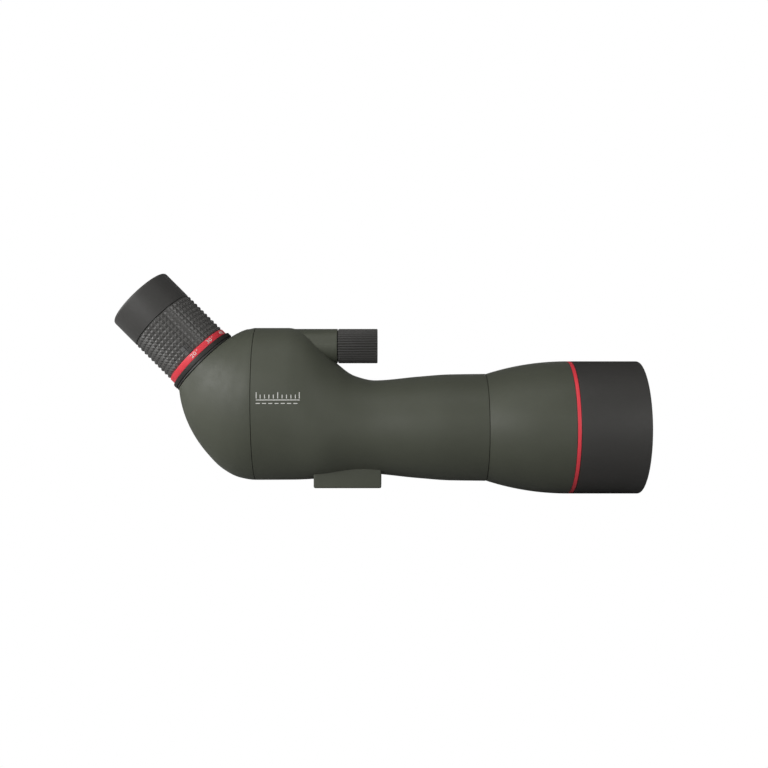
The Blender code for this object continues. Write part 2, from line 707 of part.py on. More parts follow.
def make_eyecup(rubber, plastic):
    """The lifting ring, the twisting sleeve and the rubber cup with its rounded rim."""
    lift_end = 0.1021
    ring("eyecup_lift_ring", lift_end - 0.0019, lift_end, SLEEVE_BORE_R, CUP_SLEEVE_R, plastic, EYE_AXIS)
    start = lift_end + GAP
    end = CUP_TOP - GAP
    lip = CUP_LIP_R + GAP
    sleeve = [(start, SLEEVE_BORE_R), (start, CUP_SLEEVE_R), (end, CUP_SLEEVE_R), (end, lip)]
    sleeve += [(end - 0.0010, lip), (end - 0.0010, SLEEVE_BORE_R)]
    turned("eyecup_sleeve", sleeve, plastic, EYE_AXIS)
    rim = 0.0026
    cup = [(CUP_START, CUP_BORE_R), (CUP_START, CUP_R - 0.0003), (CUP_START + 0.0003, CUP_R)]
    for i in range(4):
        angle = math.pi / 2 * i / 3
        cup.append((CUP_END - rim + rim * math.sin(angle), CUP_R - rim + rim * math.cos(angle)))
    cup += [(CUP_END - 0.0004, CUP_LIP_R + 0.0020), (CUP_END - 0.0012, CUP_LIP_R)]
    cup += [(CUP_TOP, CUP_LIP_R), (CUP_TOP, CUP_BORE_R)]
    turned("eyecup_rubber", cup, rubber, EYE_AXIS)


def make_tripod_insert(brass):
    """The threaded bush in the foot, flush with the foot's face."""
    bush = [(0.0001, 0.0032), (0.0001, 0.0055), (0.0105, 0.0055), (0.0105, 0.0032)]
    turned("tripod_insert", bush, brass, FOOT_AXIS, COARSE)


for item in list(bpy.data.objects):
    bpy.data.objects.remove(item, do_unlink=True)

GROUPS = [
    ("zoom_front", FRONT_GROUP_START, FRONT_GROUP_PITCH, 0.0),
    ("zoom_rear", REAR_GROUP_START, REAR_GROUP_PITCH, math.pi),
]

along_x = math.radians(90)
OPTICAL_AXIS = axis_empty("optical_axis", (0, 0, AXIS_HEIGHT), along_x)
TURRET_AXIS = axis_empty("turret_axis", (0, 0, AXIS_HEIGHT + TURRET_HEIGHT), along_x)
GUIDE_AXIS = axis_empty("guide_axis", (0, 0, AXIS_HEIGHT + 0.0280), along_x)
SCREW_AXES = [
    axis_empty("screw_axis_" + side, (0, y, AXIS_HEIGHT - 0.0020), along_x)
    for side, y in (("left", -0.0206), ("right", 0.0206))
]
FOOT_AXIS = axis_empty("foot_axis", (THREAD_X, 0, 0), 0)
PIN_AXIS = axis_empty("pin_axis", (PIN_HOLE_X, 0, 0), 0)
EYE_AXIS = axis_empty("eyepiece_axis", (EYE_CROSSING_X, 0, AXIS_HEIGHT), -EYE_ANGLE)
EYE_AT = Matrix.Translation((EYE_CROSSING_X, 0, AXIS_HEIGHT)) @ Matrix.Rotation(-EYE_ANGLE, 4, "Y")
COVER_PIVOT = Vector((SEAM_REAR_X - SEAM_GROOVE, 0, 0))
COVER_PIVOT.z = AXIS_HEIGHT + COVER_PIVOT.x - EYE_CROSSING_X + COVER_END / math.cos(EYE_ANGLE)

olive = material("olive_armour", (0.070, 0.075, 0.058), 0.55)
black_rubber = material("black_rubber", (0.030, 0.030, 0.029), 0.65)
black_plastic = material("black_plastic", (0.025, 0.025, 0.025), 0.45)
black_metal = material("black_anodised", (0.030, 0.030, 0.030), 0.40, 0.8)
red_metal = material("red_anodised", (0.600, 0.030, 0.050), 0.35, 0.6)
brass = material("brass", (0.600, 0.430, 0.170), 0.30, 1.0)
steel = material("steel", (0.500, 0.500, 0.510), 0.30, 1.0)
felt = material("felt", (0.020, 0.020, 0.020), 0.95)
glass = material("coated_glass", (0.850, 0.920, 0.880), 0.02, 0.0, 0.9)

make_main_body(olive)
make_prism_cover(olive)
make_objective_barrel(olive)
ring("objective_trim_ring", BARREL_END_X + GAP, TRIM_END_X, SLEEVE_R + GAP, BARREL_R, red_metal, OPTICAL_AXIS)
make_sunshade(black_plastic)
make_seals(black_rubber, felt)
make_objective(black_metal, glass)
make_baffles(black_metal)
make_chassis_plate(black_metal)
make_prism(glass)
make_prism_frame(black_metal, steel)
make_focus_knob(black_rubber, black_plastic, steel)
make_focus_mount(brass, black_rubber, steel)
make_focus_carriage(black_metal, glass)
make_eyepiece_mount(black_metal, black_plastic, steel)
make_zoom_ring(black_rubber, red_metal, black_metal)
make_zoom_groups(black_metal, glass, brass)
make_eye_lens(black_plastic, glass, black_metal)
make_eyecup(black_rubber, black_plastic)
make_tripod_insert(brass)
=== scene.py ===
"""Looks of the spotting scope: fine surfaces, materials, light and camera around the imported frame."""

import json
import math

import bmesh
import bpy
from mathutils import Matrix, Vector
from mathutils.bvhtree import BVHTree


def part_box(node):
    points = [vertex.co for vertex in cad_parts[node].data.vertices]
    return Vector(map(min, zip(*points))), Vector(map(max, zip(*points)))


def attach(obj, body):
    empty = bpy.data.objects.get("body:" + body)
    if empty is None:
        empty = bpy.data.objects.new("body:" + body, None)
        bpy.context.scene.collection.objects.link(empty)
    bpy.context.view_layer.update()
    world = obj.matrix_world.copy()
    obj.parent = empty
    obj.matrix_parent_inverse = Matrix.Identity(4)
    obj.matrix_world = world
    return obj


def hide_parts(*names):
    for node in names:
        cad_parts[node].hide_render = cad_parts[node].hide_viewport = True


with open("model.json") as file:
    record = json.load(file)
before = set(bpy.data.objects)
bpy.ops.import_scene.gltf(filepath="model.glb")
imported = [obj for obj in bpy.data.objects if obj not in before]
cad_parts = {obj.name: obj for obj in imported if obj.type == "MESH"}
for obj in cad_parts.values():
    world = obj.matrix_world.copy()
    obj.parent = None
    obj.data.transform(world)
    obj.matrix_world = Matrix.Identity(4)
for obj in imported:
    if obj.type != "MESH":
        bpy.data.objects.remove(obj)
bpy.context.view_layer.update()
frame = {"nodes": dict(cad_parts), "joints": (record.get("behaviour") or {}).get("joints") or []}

# Axes of the scope, from the record's joints
JOINTS = {joint["name"]: joint for joint in frame["joints"]}
TURRET_AT = Vector(JOINTS["focus_turn"]["pos_m"])
EYE_AT = Vector(JOINTS["zoom_turn"]["pos_m"])
EYE_DIRECTION = Vector(JOINTS["zoom_turn"]["axis"]).normalized()
OPTICAL_HEIGHT = EYE_AT.z
ZOOM_MIN, ZOOM_MAX = (math.radians(limit) for limit in JOINTS["zoom_turn"]["range_deg"])

MM = 0.001
ROUND = 128
ALONG_X = Matrix.Rotation(math.radians(90), 4, "Y")
OPTICAL = Matrix.Translation((0, 0, OPTICAL_HEIGHT)) @ ALONG_X
TURRET = Matrix.Translation(TURRET_AT) @ ALONG_X
EYEPIECE = Matrix.Translation(EYE_AT) @ Matrix.Rotation(-math.acos(EYE_DIRECTION.z), 4, "Y")

# Outlines of the shells, as in the design: (place, distance from the optical axis)
SEAM_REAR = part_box("main_body")[0].x
SEAM_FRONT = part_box("main_body")[1].x
WALL = 2.8 * MM
BODY_TOP = [
    (SEAM_REAR, 0.0647),
    (-0.0390, 0.0647),
    (-0.0290, 0.0620),
    (-0.0080, 0.0419),
    (0.0040, 0.0335),
    (0.0170, 0.0306),
    (0.0450, 0.0330),
    (0.0660, 0.0345),
    (SEAM_FRONT, 0.0348),
]
BODY_BOTTOM = [
    (SEAM_REAR, -0.0342),
    (-0.0360, -0.0341),
    (-0.0250, -0.0337),
    (0.0080, -0.0298),
    (0.0450, -0.0330),
    (0.0660, -0.0345),
    (SEAM_FRONT, -0.0348),
]
BODY_HALF_WIDTH = [
    (SEAM_REAR, 0.0335),
    (-0.0300, 0.0333),
    (0.0120, 0.0300),
    (0.0450, 0.0330),
    (0.0660, 0.0345),
    (SEAM_FRONT, 0.0348),
]
BODY_WIDEST = [(SEAM_REAR, 0.0190), (-0.0390, 0.0165), (-0.0110, 0.0), (SEAM_FRONT, 0.0)]

# The prism cover fans out from the line where the seam plane meets the collar plane:
# (angle from the seam plane in degrees, distance from that line)
COVER_NEAR = [(0, 0.00905), (28, 0.0112), (36.5, 0.0134), (41.5, 0.0162), (44.2, 0.0192), (45, 0.0218)]
COVER_FAR = [(0, 0.10795), (5.6, 0.1068), (11.6, 0.1031), (18.8, 0.0962), (32, 0.0832), (45, 0.0700)]
COVER_HALF_WIDTH = [(0, 0.0335), (12, 0.0321), (26, 0.0286), (36, 0.0256), (45, 0.0238)]
COVER_WIDEST = [(0, 0.05475), (45, 0.0460)]
COVER_PIVOT_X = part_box("prism_cover")[1].x

# Where the tripod bush stands under the body
BUSH_X = -7 * MM


# Measuring the frame


def span(node, axes):
    """(start, end, inner radius, outer radius) of a CAD node about the local Z axis of axes."""
    into = axes.inverted()
    points = [into @ vertex.co for vertex in frame["nodes"][node].data.vertices]
    places = [point.z for point in points]
    radii = [math.hypot(point.x, point.y) for point in points]
    return min(places), max(places), min(radii), max(radii)


# Where the prism cover's flat end stops under the collar, along the eyepiece's axis
COVER_END = span("eyepiece_collar", EYEPIECE)[0] - 0.3 * MM


def smooth_curve(points, at):
    """The height of a smooth curve through points, without overshoot between them."""
    steps = [(b[1] - a[1]) / (b[0] - a[0]) for a, b in zip(points, points[1:])]
    slopes = [0.0]
    for before, after in zip(steps, steps[1:]):
        same_way = before * after > 0
        slopes.append(2 * before * after / (before + after) if same_way else 0.0)
    slopes.append(steps[-1] if len(points) > 2 else 0.0)
    index = 0
    while index < len(points) - 2 and at > points[index + 1][0]:
        index += 1
    (x0, y0), (x1, y1) = points[index], points[index + 1]
    width = x1 - x0
    t = min(max((at - x0) / width, 0.0), 1.0)
    rise = (1 - t) ** 2 * (1 + 2 * t) * y0 + t**2 * (3 - 2 * t) * y1
    return rise + width * t * (1 - t) * ((1 - t) * slopes[index] - t * slopes[index + 1])


# Making pieces


def finish_mesh(name, build, surface, sharp=40):
    """Turns a bmesh into a named object in the scene, shaded smooth with sharp edges."""
    bmesh.ops.remove_doubles(build, verts=build.verts, dist=1e-6)
    bmesh.ops.recalc_face_normals(build, faces=build.faces)
    mesh = bpy.data.meshes.new(name)
    build.to_mesh(mesh)
    build.free()
    mesh.shade_smooth()
    mesh.set_sharp_from_angle(angle=math.radians(sharp))
    if surface:
        mesh.materials.append(surface)
    piece = bpy.data.objects.new(name, mesh)
    bpy.context.scene.collection.objects.link(piece)
    return piece


def mount(piece, body, slot, *nodes):
    """Puts a finished piece on its body and hides the CAD nodes it stands for. Its slot is not used."""
    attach(piece, body)
    if nodes:
        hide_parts(*nodes)
    return piece


def lathe(name, profile, surface, axes, rounds=ROUND, sharp=40):
    """Spins a closed outline of (place, radius) about the local Z axis of axes."""
    build = bmesh.new()
    columns = []
    for step in range(rounds):
        turn = 2 * math.pi * step / rounds
        column = []
        for place, radius in profile:
            at = Vector((radius * math.cos(turn), radius * math.sin(turn), place))
            column.append(build.verts.new(axes @ at))
        columns.append(column)
    closed = profile[0][1] > 0 or profile[-1][1] > 0
    count = len(profile)
    for here, following in zip(columns, columns[1:] + columns[:1]):
        for low in range(count if closed else count - 1):
            high = (low + 1) % count
            build.faces.new((here[low], following[low], following[high], here[high]))
    bmesh.ops.remove_doubles(build, verts=build.verts, dist=1e-6)
    bmesh.ops.dissolve_degenerate(build, edges=build.edges, dist=1e-7)
    return finish_mesh(name, build, surface, sharp)


def rounded(corners, steps=4):
    """A closed outline whose corners (place, radius, rounding) are replaced by arcs."""
    outline = []
    count = len(corners)
    for index, (place, radius, rounding) in enumerate(corners):
        here = Vector((place, radius))
        if rounding == 0:
            outline.append((place, radius))
            continue
        before = Vector(corners[index - 1][:2]) - here
        after = Vector(corners[(index + 1) % count][:2]) - here
        half = before.angle(after) / 2
        reach = min(rounding / math.tan(half), 0.49 * before.length, 0.49 * after.length)
        first = here + before.normalized() * reach
        last = here + after.normalized() * reach
        for step in range(steps + 1):
            t = step / steps
            point = first * (1 - t) ** 2 + here * 2 * t * (1 - t) + last * t**2
            outline.append((point.x, point.y))
    return outline


def ring_profile(start, end, inner, outer, rounding):
    """The outline of a plain ring with rounded edges."""
    corners = [(start, inner), (start, outer), (end, outer), (end, inner)]
    return rounded([(place, radius, rounding) for place, radius in corners])


def ring_shell(name, rings, surface, sharp=40):
    """Joins rings of points, each to the next and the last to the first."""
    build = bmesh.new()
    loops = [[build.verts.new(point) for point in points] for points in rings]
    count = len(loops[0])
    for loop, following in zip(loops, loops[1:] + loops[:1]):
        for i in range(count):
            j = (i + 1) % count
            build.faces.new((loop[i], loop[j], following[j], following[i]))
    return finish_mesh(name, build, surface, sharp)


def boolean(piece, operation, tool):
    """Applies a Boolean and removes its tool."""
    change = piece.modifiers.new("cut", "BOOLEAN")
    change.operation = operation
    change.object = tool
    change.solver = "EXACT"
    apply_modifiers(piece)
    bpy.data.objects.remove(tool, do_unlink=True)


def apply_modifiers(piece):
    """Replaces a piece's mesh with its evaluated mesh."""
    bpy.context.view_layer.update()
    graph = bpy.context.evaluated_depsgraph_get()
    mesh = bpy.data.meshes.new_from_object(piece.evaluated_get(graph))
    piece.modifiers.clear()
    piece.data = mesh


# Shells


def oval(origin, down, near, far, widest, half_width):
    """Points of an oval in the plane of Y and down. Near, far and widest are places along down."""
    points = []
    for i in range(ROUND):
        turn = 2 * math.pi * i / ROUND
        reach = widest - near if math.sin(turn) > 0 else far - widest
        across = Vector((0, math.cos(turn) * half_width, 0))
        points.append(origin + down * (widest - math.sin(turn) * reach) + across)
    return points


def body_ring(x, inset=0.0):
    """The body's outline at a place along the optical axis, moved inwards by inset."""
    top = smooth_curve(BODY_TOP, x) - inset
    bottom = smooth_curve(BODY_BOTTOM, x) + inset
    half_width = smooth_curve(BODY_HALF_WIDTH, x) - inset
    widest = smooth_curve(BODY_WIDEST, x)
    origin = Vector((x, 0, OPTICAL_HEIGHT))
    return oval(origin, Vector((0, 0, -1)), -top, -bottom, -widest, half_width)


def cover_ring(angle, inset=0.0):
    """The prism cover's outline in a plane turned by angle degrees from the seam plane."""
    pivot_height = OPTICAL_HEIGHT + COVER_PIVOT_X - EYE_AT.x + COVER_END * math.sqrt(2)
    pivot = Vector((COVER_PIVOT_X, 0, pivot_height))
    down = Vector((-math.sin(math.radians(angle)), 0, -math.cos(math.radians(angle))))
    near = smooth_curve(COVER_NEAR, angle) + inset
    far = smooth_curve(COVER_FAR, angle) - inset
    half_width = smooth_curve(COVER_HALF_WIDTH, angle) - inset
    return oval(pivot, down, near, far, smooth_curve(COVER_WIDEST, angle), half_width)


def make_foot(surface):
    """The tripod foot: a block on the XY plane with rounded upright and lower edges."""
    start, end, half_width, height = -22.0 * MM, 21.3 * MM, 14.5 * MM, 14 * MM
    build = bmesh.new()
    place = Matrix.Translation(((start + end) / 2, 0, height / 2))
    size = Matrix.Diagonal((end - start, 2 * half_width, height, 1))
    bmesh.ops.create_cube(build, size=1, matrix=place @ size)
    outer = [edge for edge in build.edges if min(vertex.co.z for vertex in edge.verts) < MM]
    bmesh.ops.bevel(build, geom=outer, offset=1.1 * MM, segments=6, profile=0.5, affect="EDGES")
    return finish_mesh("foot_tool", build, surface)


def make_body_shell(surface, inside):
    """The hollow body with its turret and tripod foot, and the bores cut in them."""
    length = SEAM_FRONT - SEAM_REAR
    steps = 90
    outer = [body_ring(SEAM_REAR + length * i / steps) for i in range(steps + 1)]
    inner_steps = 30
    inner = [body_ring(SEAM_FRONT - length * i / inner_steps, WALL) for i in range(inner_steps + 1)]
    body = ring_shell("body_shell", outer + inner, surface)

    def in_hollow(centre):
        x, down = centre.x, OPTICAL_HEIGHT - centre.z
        widest = -smooth_curve(BODY_WIDEST, x)
        far_side = -smooth_curve(BODY_TOP, x) if down < widest else -smooth_curve(BODY_BOTTOM, x)
        reach = abs(far_side - widest)
        across = centre.y / (smooth_curve(BODY_HALF_WIDTH, x) - WALL / 2)
        return across**2 + ((down - widest) / (reach - WALL / 2)) ** 2 < 1

    paint_faces(body, inside, in_hollow)
    turret_start = -35.5 * MM
    turret_end, _, _, radius = span("focus_knob_grip", TURRET)
    turret_end -= 0.4 * MM
    edge = 0.25 * MM
    turret = [(turret_start, 0), (turret_start, radius), (turret_end - edge, radius)]
    turret += [(turret_end, radius - edge), (turret_end, 0)]
    boolean(body, "UNION", lathe("turret_tool", turret, surface, TURRET, 160))
    boolean(body, "UNION", make_foot(surface))
    bore_start = turret_start - MM
    bore_end = -6 * MM
    shaft = 7.6 * MM
    bore = [(bore_start, 0), (bore_start, shaft), (bore_end, shaft), (bore_end, 0)]
    boolean(body, "DIFFERENCE", lathe("bore_tool", bore, inside, TURRET, 64))
    bush_hole = (BUSH_X, 11 * MM, 5.8 * MM)
    locating_hole = (7 * MM, 5 * MM, 2.2 * MM)
    for x, depth, radius in (bush_hole, locating_hole):
        hole = [(-MM, 0), (-MM, radius), (depth, radius), (depth, 0)]
        boolean(body, "DIFFERENCE", lathe("hole_tool", hole, inside, Matrix.Translation((x, 0, 0)), 64))
    body.data.shade_smooth()
    body.data.set_sharp_from_angle(angle=math.radians(32))
    return mount(body, "scope", "olive_armour", "main_body")


def make_prism_cover(surface):
    """The domed rear shell with its bored wall under the collar."""
    steps = 60
    outer = [cover_ring(45 * math.sin(math.pi / 2 * i / steps)) for i in range(steps + 1)]
    turns = [2 * math.pi * i / ROUND for i in range(ROUND)]
    hole = 17.9 * MM
    wall = []
    for place in (COVER_END, COVER_END - 2.5 * MM):
        wall.append([EYEPIECE @ Vector((hole * math.sin(t), hole * math.cos(t), place)) for t in turns])
    inner_steps = 20
    inner_end = 41
    inner = [cover_ring(inner_end * (1 - i / inner_steps), WALL) for i in range(inner_steps + 1)]
    cover = ring_shell("prism_cover_shell", outer + wall + inner, surface)
    return mount(cover, "scope", "olive_armour", "prism_cover")


def paint_faces(piece, surface, wanted):
    """Gives a second surface to the faces whose centre passes a test."""
    piece.data.materials.append(surface)
    index = len(piece.data.materials) - 1
    for face in piece.data.polygons:
        if wanted(face.center):
            face.material_index = index


def make_objective_barrel(surface, inside):
    """The flared shell with its spigot and the black sleeve under the sunshade."""
    start = SEAM_FRONT + 0.4 * MM
    trim_start, _, _, outer = span("objective_trim_ring", OPTICAL)
    flare_end = trim_start - 0.3 * MM
    bend = 168.7 * MM

    def flare(x):
        return outer - bend + math.sqrt(bend**2 - (flare_end - min(x, flare_end)) ** 2)

    spigot = 80.6 * MM
    steps = 48
    profile = [(spigot, 29.9 * MM), (spigot, 31.7 * MM), (start, 31.7 * MM)]
    for i in range(steps + 1):
        x = start + (flare_end - start) * i / steps
        profile.append((x, flare(x)))
    sleeve = 39.5 * MM
    groove = 38.2 * MM
    seat = 37.7 * MM
    profile += [(flare_end, sleeve), (175.5 * MM, sleeve), (175.5 * MM, groove)]
    profile += [(181.5 * MM, groove), (181.5 * MM, sleeve), (184.6 * MM, sleeve)]
    profile += [(185 * MM, sleeve - 0.4 * MM), (185 * MM, seat), (150.2 * MM, seat)]
    bore = [(150.2 * MM, 36.2 * MM), (130 * MM, 36.2 * MM), (105 * MM, 35 * MM), (90 * MM, 29.9 * MM)]
    barrel = lathe("barrel_shell", profile + bore, surface, OPTICAL, 192)

    def inner_side(centre):
        radius = math.hypot(centre.y, centre.z - OPTICAL_HEIGHT)
        if centre.x > flare_end + 0.05 * MM or centre.x < start - 0.1 * MM or radius < 33 * MM:
            return True
        return 90 * MM < centre.x < 152 * MM and radius < min(36.5 * MM, flare(centre.x) - 1.5 * MM)

    paint_faces(barrel, inside, inner_side)
    return mount(barrel, "scope", "olive_armour", "objective_barrel")


def make_sunshade(surface, inside):
    """The sliding hood, with rounded rims and a slightly wider bore behind its mouth."""
    start, end, _, outer = span("sunshade_tube", OPTICAL)
    inner = 40.3 * MM
    corners = [
        (start, inner, 0.2 * MM),
        (start, outer, 0.35 * MM),
        (end, outer, 1.7 * MM),
        (end, inner + 0.2 * MM, 0.8 * MM),
    ]
    profile = rounded(corners, 8)
    profile += [(end - 2.0 * MM, inner), (end - 2.5 * MM, inner + 0.15 * MM)]
    hood = lathe("sunshade", profile, surface, OPTICAL, 192)
    paint_faces(hood, inside, lambda c: math.hypot(c.y, c.z - OPTICAL_HEIGHT) < inner + 0.3 * MM)
    return mount(hood, "sunshade", "black_plastic", "sunshade_tube")


def make_trim_ring(surface):
    """The red ring between the barrel and the sunshade."""
    start, end, _, outer = span("objective_trim_ring", OPTICAL)
    inner = 39.8 * MM
    trim = lathe("trim_ring", ring_profile(start, end, inner, outer, 0.25 * MM), surface, OPTICAL, 192)
    return mount(trim, "scope", "red_anodised", "objective_trim_ring")


# Objective


def glass_face(vertex, edge, radius, steps=24):
    """Points of a lens face from the axis to its edge, as an arc through both."""
    sag = edge - vertex
    sphere = (radius**2 + sag**2) / (2 * sag)
    reach = math.asin(radius / abs(sphere))
    arc = []
    for step in range(steps + 1):
        angle = reach * step / steps
        arc.append((vertex + sphere * (1 - math.cos(angle)), abs(sphere) * math.sin(angle)))
    return arc


def lens(name, back, front, radius, surface, axes):
    """A lens between two faces, each a pair (vertex, edge) of places along the axis."""
    outline = glass_face(*back, radius) + glass_face(*front, radius)[::-1]
    return lathe(name, outline, surface, axes, 96, sharp=60)


def make_objective(glass, metal, black):
    """The front lens group, its blackened cell, the threaded ring with its two key slots."""
    radius = 35.6 * MM
    flint = lens("flint_glass", (158.0 * MM, 158.4 * MM), (161.6 * MM, 165.9 * MM), radius, glass, OPTICAL)
    mount(flint, "scope", "coated_glass", "flint_lens")
    crown = lens("crown_glass", (163.2 * MM, 167.5 * MM), (175.3 * MM, 171.0 * MM), radius, glass, OPTICAL)
    mount(crown, "scope", "coated_glass", "crown_lens")

    bore = radius + 0.35 * MM
    start, end = 150.5 * MM, 179 * MM
    shelf = 158.1 * MM
    stop = 34 * MM
    outer = 37.4 * MM
    edge = 0.4 * MM
    cell = [(start, stop), (start, outer), (end - edge, outer), (end, outer - edge), (end, 36.6 * MM)]
    place = end - edge
    while place > 175.2 * MM:
        cell += [(place, bore), (place - 0.3 * MM, bore + 0.25 * MM)]
        place -= 0.6 * MM
    cell += [(174.9 * MM, bore), (shelf, bore), (shelf, stop)]
    mount(lathe("front_cell", cell, black, OPTICAL), "scope", "black_anodised", "objective_cell")

    start, end, _, _ = span("objective_retaining_ring", OPTICAL)
    opening = 34.2 * MM
    corners = [(start, opening, 0), (start, radius, 0), (end, radius, 0.2 * MM), (end, opening, 0.5 * MM)]
    outline = rounded(corners)
    keeper = lathe("front_lens_ring", outline, metal, OPTICAL)
    build = bmesh.new()
    for side in (-1, 1):
        place = Matrix.Translation((end, side * 35 * MM, OPTICAL_HEIGHT))
        bmesh.ops.create_cube(build, size=1, matrix=place @ Matrix.Diagonal((2 * MM, 4 * MM, 2 * MM, 1)))
    boolean(keeper, "DIFFERENCE", finish_mesh("key_tool", build, metal))
    mount(keeper, "scope", "black_anodised", "objective_retaining_ring")

    start, end, _, _ = span("lens_spacer", OPTICAL)
    spacer = lathe("spacer_ring", ring_profile(start, end, 34.6 * MM, radius, 0.1 * MM), metal, OPTICAL)
    mount(spacer, "scope", "black_anodised", "lens_spacer")


def make_baffles(black):
    """The two stepped rings that stop stray light, with a knife edge at each opening."""
    for name, node in (("front_stop", "front_baffle"), ("rear_stop", "rear_baffle")):
        start, end, inner, outer = span(node, OPTICAL)
        profile = [(start, inner + 0.8 * MM), (start, outer), (end, outer), (end, outer - 1.2 * MM)]
        profile += [(start + 1.2 * MM, outer - 1.2 * MM), (start + 1.2 * MM, inner + 0.8 * MM)]
        profile += [(start + 0.7 * MM, inner)]
        mount(lathe(name, profile, black, OPTICAL, 96), "scope", "black_anodised", node)


# Focus


def make_focus_knob(surface, cap_surface):
    """The knob's grip with its rounded flutes, and the dished cap in its front."""
    start, end, _, outer = span("focus_knob_grip", TURRET)
    inner = 9.2 * MM
    flutes = 40
    groove = [0, 0.03, 0.30, 0.85, 0.95, 0.85, 0.30, 0.03]
    points = flutes * len(groove)
    rings = []
    stations = [(start, 0.55), (start + 0.2 * MM, 0.2), (start + 0.55 * MM, 0.0)]
    stations += [(end - 0.5 * MM, 0.0), (end - 0.15 * MM, 0.15), (end, 0.45)]
    for place, chamfer in stations:
        ring = []
        for i in range(points):
            turn = 2 * math.pi * i / points
            radius = outer - max(chamfer, groove[i % len(groove)]) * MM
            ring.append(TURRET @ Vector((radius * math.cos(turn), radius * math.sin(turn), place)))
        rings.append(ring)
    for place, radius in ((end, inner + 0.5 * MM), (end - 0.5 * MM, inner), (start, inner)):
        turns = [2 * math.pi * i / points for i in range(points)]
        rings.append([TURRET @ Vector((radius * math.cos(t), radius * math.sin(t), place)) for t in turns])
    grip = ring_shell("knob_grip", rings, surface, sharp=50)
    mount(grip, "focus_knob", "black_rubber", "focus_knob_grip")

    start, end, _, outer = span("focus_knob_cap", TURRET)
    dish = [(start, 0), (start, outer - 0.2 * MM), (start + 0.2 * MM, outer), (end - 0.3 * MM, outer)]
    dish += [(end, outer - 0.3 * MM), (end, outer - 1.4 * MM), (end - 0.5 * MM, outer - 1.9 * MM)]
    dish += [(end - 0.6 * MM, 0)]
    cap = lathe("knob_cap", dish, cap_surface, TURRET, 96)
    mount(cap, "focus_knob", "black_plastic", "focus_knob_cap")


# Eyepiece


def make_collar(surface):
    """The fixed collar: a sloping lip on the prism cover, a groove and a plain band."""
    start, end, _, outer = span("eyepiece_collar", EYEPIECE)
    inner = 15.7 * MM
    lip = start + 1.2 * MM
    corners = [
        (start, inner, 0),
        (start, outer - 0.1 * MM, 0.1 * MM),
        (lip, outer - 0.5 * MM, 0.1 * MM),
        (lip, outer - 0.9 * MM, 0),
        (lip + 0.2 * MM, outer - 0.9 * MM, 0),
        (lip + 0.2 * MM, outer, 0.2 * MM),
        (end, outer, 0.3 * MM),
        (end, inner, 0),
    ]
    collar = lathe("collar", rounded(corners), surface, EYEPIECE)
    return mount(collar, "scope", "black_plastic", "eyepiece_collar")


def make_index_mark(surface):
    """The white index line on the collar, on the upper side of the eyepiece."""
    start, end, _, outer = span("eyepiece_collar", EYEPIECE)
    half_width = 0.35 * MM
    low = start + 1.7 * MM
    high = end - 0.5 * MM
    build = bmesh.new()
    size = (0.16 * MM, 2 * half_width, high - low)
    place = Matrix.Translation((outer + 0.02 * MM, 0, (low + high) / 2))
    bmesh.ops.create_cube(build, size=1, matrix=EYEPIECE @ place @ Matrix.Diagonal((*size, 1)))
    bmesh.ops.bevel(build, geom=build.edges[:], offset=0.03 * MM, segments=2, affect="EDGES")
    return mount(finish_mesh("index_mark", build, surface), "scope", "red_anodised")


def make_scale_ring(surface):
    """The red ring that carries the magnification numbers."""
    start, end, _, outer = span("zoom_scale_ring", EYEPIECE)
    outline = ring_profile(start, end, 17.6 * MM, outer, 0.25 * MM)
    ring = lathe("scale_ring", outline, surface, EYEPIECE)
    return mount(ring, "zoom_ring", "red_anodised", "zoom_scale_ring")


def text_outline(words, height):
    """A flat mesh of a short text in Blender's own font, as points and faces, centred on its origin."""
    letters = bpy.data.curves.new("letters", "FONT")
    letters.body = words
    letters.size = height
    letters.align_x = "CENTER"
    letters.align_y = "CENTER"
    letters.resolution_u = 3
    carrier = bpy.data.objects.new("letters", letters)
    bpy.context.scene.collection.objects.link(carrier)
    bpy.context.view_layer.update()
    mesh = carrier.to_mesh()
    build = bmesh.new()
    build.from_mesh(mesh)
    carrier.to_mesh_clear()
    bpy.data.objects.remove(carrier, do_unlink=True)
    bpy.data.curves.remove(letters)
    return build


def make_numbers(surface):
    """The magnification numbers 20 to 60, wrapped round the red ring as raised white paint."""
    start, end, _, outer = span("zoom_scale_ring", EYEPIECE)
    middle = (start + end) / 2
    spacing = (ZOOM_MAX - ZOOM_MIN) / 4
    size = 3.4 * MM
    stretch = 1.35
    paint = 0.09 * MM
    build = bmesh.new()

    def wrap(words, height, turn, shift, rise):
        """Adds a text round the ring, moved along the ring by shift and along the axis by rise."""
        flat = text_outline(words, height)
        bmesh.ops.remove_doubles(flat, verts=flat.verts, dist=1e-6)
        lifted = bmesh.ops.extrude_face_region(flat, geom=flat.faces[:])["geom"]
        top = {item for item in lifted if isinstance(item, bmesh.types.BMVert)}
        for vertex in flat.verts:
            radius = outer + paint if vertex in top else outer - 0.3 * paint
            angle = turn + (vertex.co.x + shift) * stretch / outer
            at = Vector((radius * math.cos(angle), radius * math.sin(angle), middle + vertex.co.y + rise))
            vertex.co = EYEPIECE @ at
        bmesh.ops.recalc_face_normals(flat, faces=flat.faces)
        mesh = bpy.data.meshes.new("number")
        flat.to_mesh(mesh)
        flat.free()
        build.from_mesh(mesh)
        bpy.data.meshes.remove(mesh)

    for step in range(5):
        turn = -ZOOM_MAX + spacing * step - 0.015
        wrap(str(20 + 10 * step), size, turn, 0, 0)
        wrap("x", 0.5 * size, turn, 0.78 * size, 0.28 * size)
    return mount(finish_mesh("scale_numbers", build, surface), "zoom_ring", "red_anodised")


